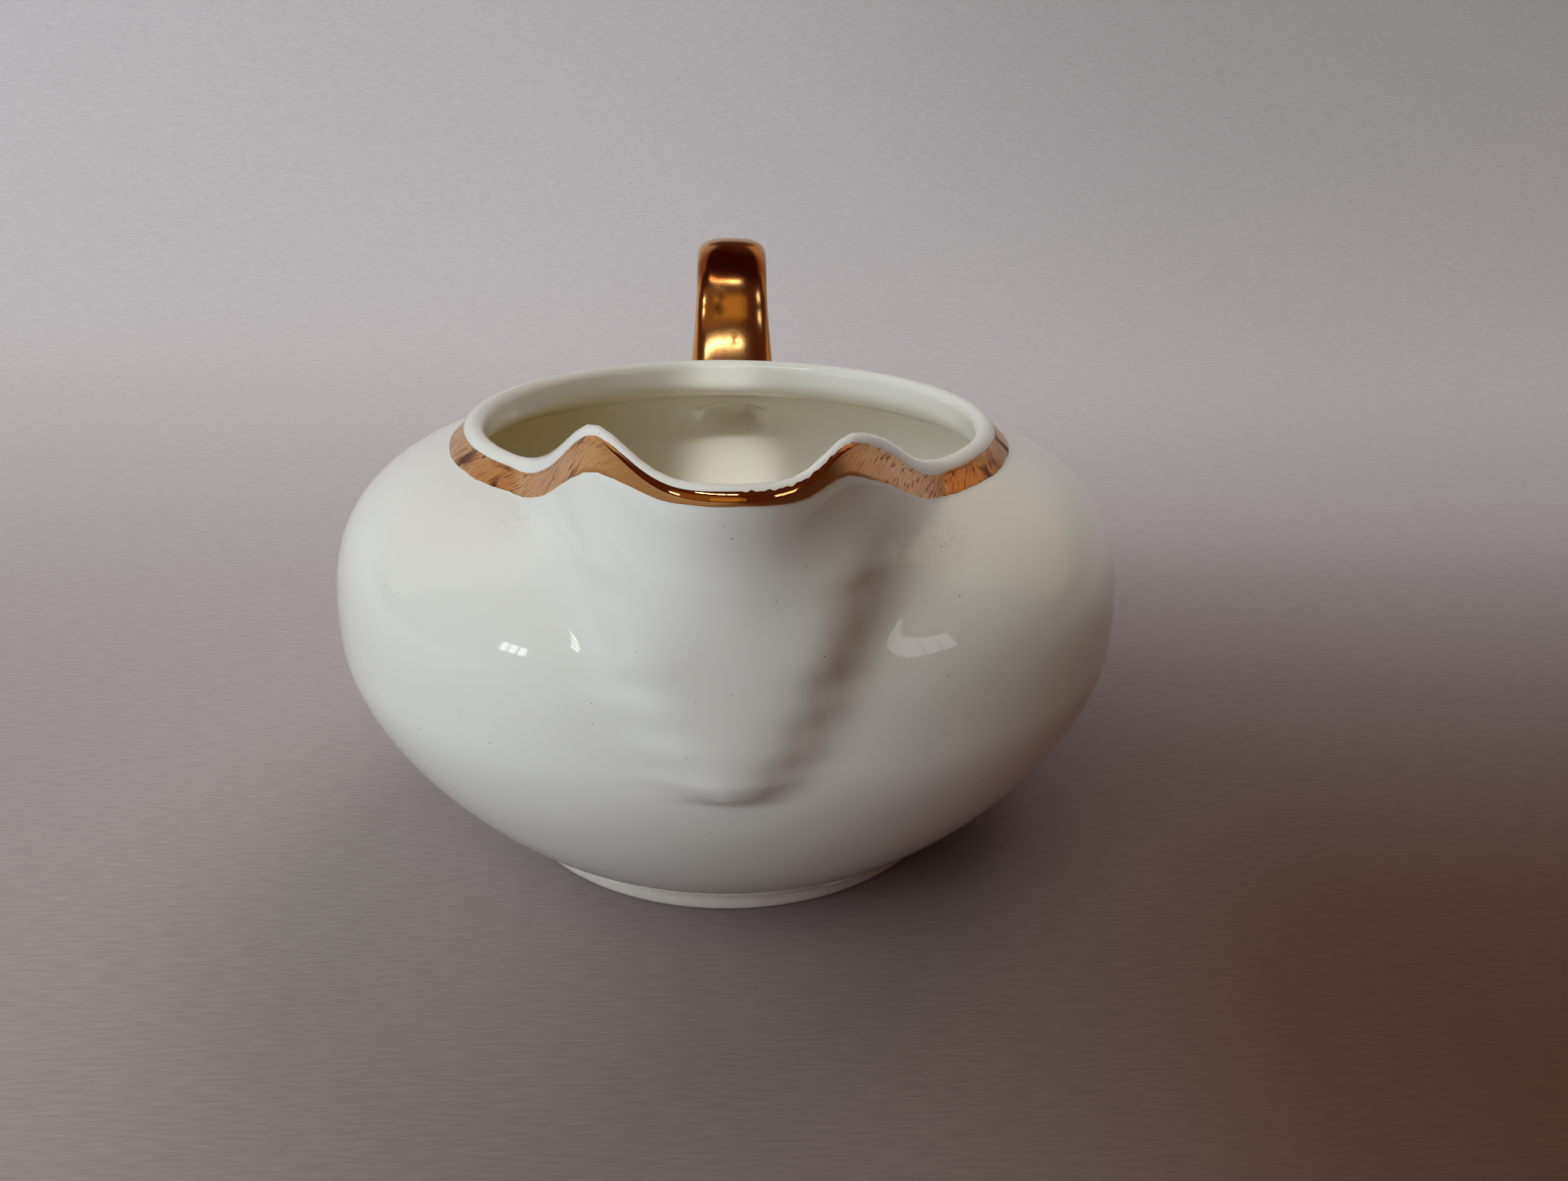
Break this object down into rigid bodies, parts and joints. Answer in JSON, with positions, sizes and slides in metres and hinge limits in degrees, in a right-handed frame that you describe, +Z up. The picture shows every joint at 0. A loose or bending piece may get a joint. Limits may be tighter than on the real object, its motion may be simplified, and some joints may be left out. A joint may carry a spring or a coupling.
{
  "type": "cream jug",
  "caption": "Squat round porcelain cream jug with a tongue-shaped pouring spout between two raised ears, a gilt looped strap handle, a gilt neck band and a low foot ring.",
  "frame": {"origin": "the point on the table under the middle of the foot ring", "axes": "+Z up along the belly's turning axis, the spout points along -Y, the handle along +Y, +X to the right seen from the spout's side"},
  "size_m": [0.1, 0.1254, 0.0698],
  "materials": {
    "glazed_porcelain": "cream porcelain under a clear gloss glaze",
    "bare_porcelain": "unglazed biscuit, satin and slightly gritty",
    "fired_gold": "bright liquid gold, polished, with fine wear scratches"
  },
  "bodies": {
    "root": {"body_shell": "glazed_porcelain", "spout": "glazed_porcelain", "foot_ring": "bare_porcelain", "handle": "glazed_porcelain", "handle_gilding": "fired_gold", "rim_gilding": "fired_gold"}
  },
  "joints": []
}
